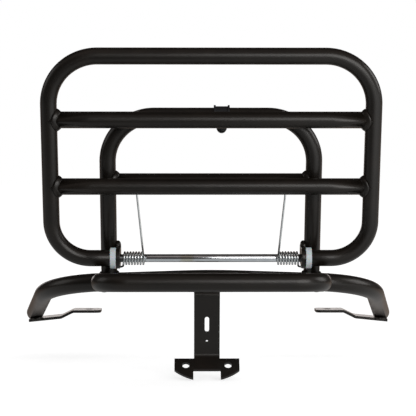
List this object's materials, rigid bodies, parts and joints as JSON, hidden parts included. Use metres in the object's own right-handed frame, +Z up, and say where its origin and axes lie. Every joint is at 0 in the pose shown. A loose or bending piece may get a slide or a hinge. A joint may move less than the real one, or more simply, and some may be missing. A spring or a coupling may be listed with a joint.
{
  "type": "folding luggage rack",
  "caption": "Rear luggage rack for a scooter: a fixed carrier of welded steel tube with a sprung platform that folds up against a hoop.",
  "frame": {"origin": "midway between the bolt holes of the two mounting tabs, on the tabs' upper face", "axes": "+X to the right, +Y forward along the vehicle, +Z up; the platform stands folded up as pictured"},
  "size_m": [0.4102, 0.3036, 0.3273],
  "materials": {
    "powder_coated_steel": "satin powder coat",
    "zinc_plated_steel": "satin",
    "spring_steel": "satin",
    "nylon": "matte",
    "rubber": "matte"
  },
  "bodies": {
    "carrier": {"base_tube": "powder_coated_steel", "left_tab": "powder_coated_steel", "right_tab": "powder_coated_steel", "support_loop": "powder_coated_steel", "centre_bracket": "powder_coated_steel", "hoop": "powder_coated_steel", "hoop_crossbar": "powder_coated_steel", "left_ear": "powder_coated_steel", "right_ear": "powder_coated_steel", "hinge_rod": "zinc_plated_steel", "left_spring": "spring_steel", "right_spring": "spring_steel", "buffer": "rubber", "buffer_screw": "zinc_plated_steel"},
    "platform": {"platform_frame": "powder_coated_steel", "lower_crossbar": "powder_coated_steel", "upper_crossbar": "powder_coated_steel", "left_bush": "nylon", "right_bush": "nylon"}
  },
  "joints": [
    {"name": "platform_fold", "type": "hinge", "parent": "carrier", "child": "platform", "pos_m": [0, -0.20603, 0.0688], "axis": [1, 0, 0], "range_deg": [0, 76.5], "stiffness_Nm_per_rad": 1.15, "springref_deg": -28.65, "deforming": ["left_spring", "right_spring"]}
  ]
}
